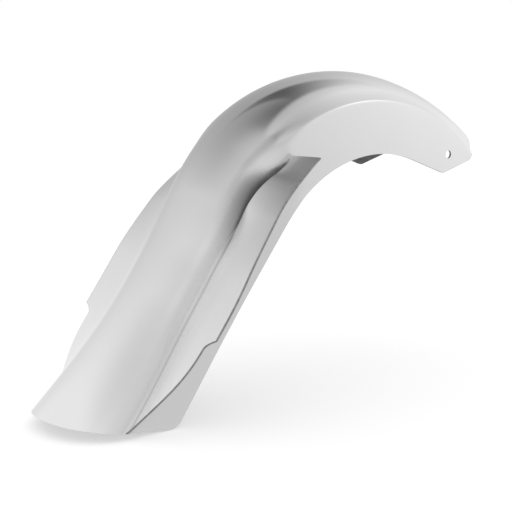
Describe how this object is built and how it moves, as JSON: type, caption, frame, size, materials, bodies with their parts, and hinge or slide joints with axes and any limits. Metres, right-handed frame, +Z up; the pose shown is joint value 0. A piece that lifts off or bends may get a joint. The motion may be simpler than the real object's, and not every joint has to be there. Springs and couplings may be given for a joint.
{
  "type": "motorcycle rear fender",
  "caption": "Moulded rear fender for a touring motorcycle: a long crowned channel over the wheel with flat side pads, and flared wings by the tail that fill the gap to the luggage.",
  "frame": {"origin": "on the axis of the front bolt holes, midway between the two sides", "axes": "+X forward, +Y left, +Z up, in the pose on the motorcycle with the tail low at the back"},
  "size_m": [0.8526, 0.3436, 0.5136],
  "materials": {
    "moulding": "smooth silver-grey gloss over a glass-fibre moulding"
  },
  "bodies": {
    "root": {"rear_fender": "moulding"}
  },
  "joints": []
}
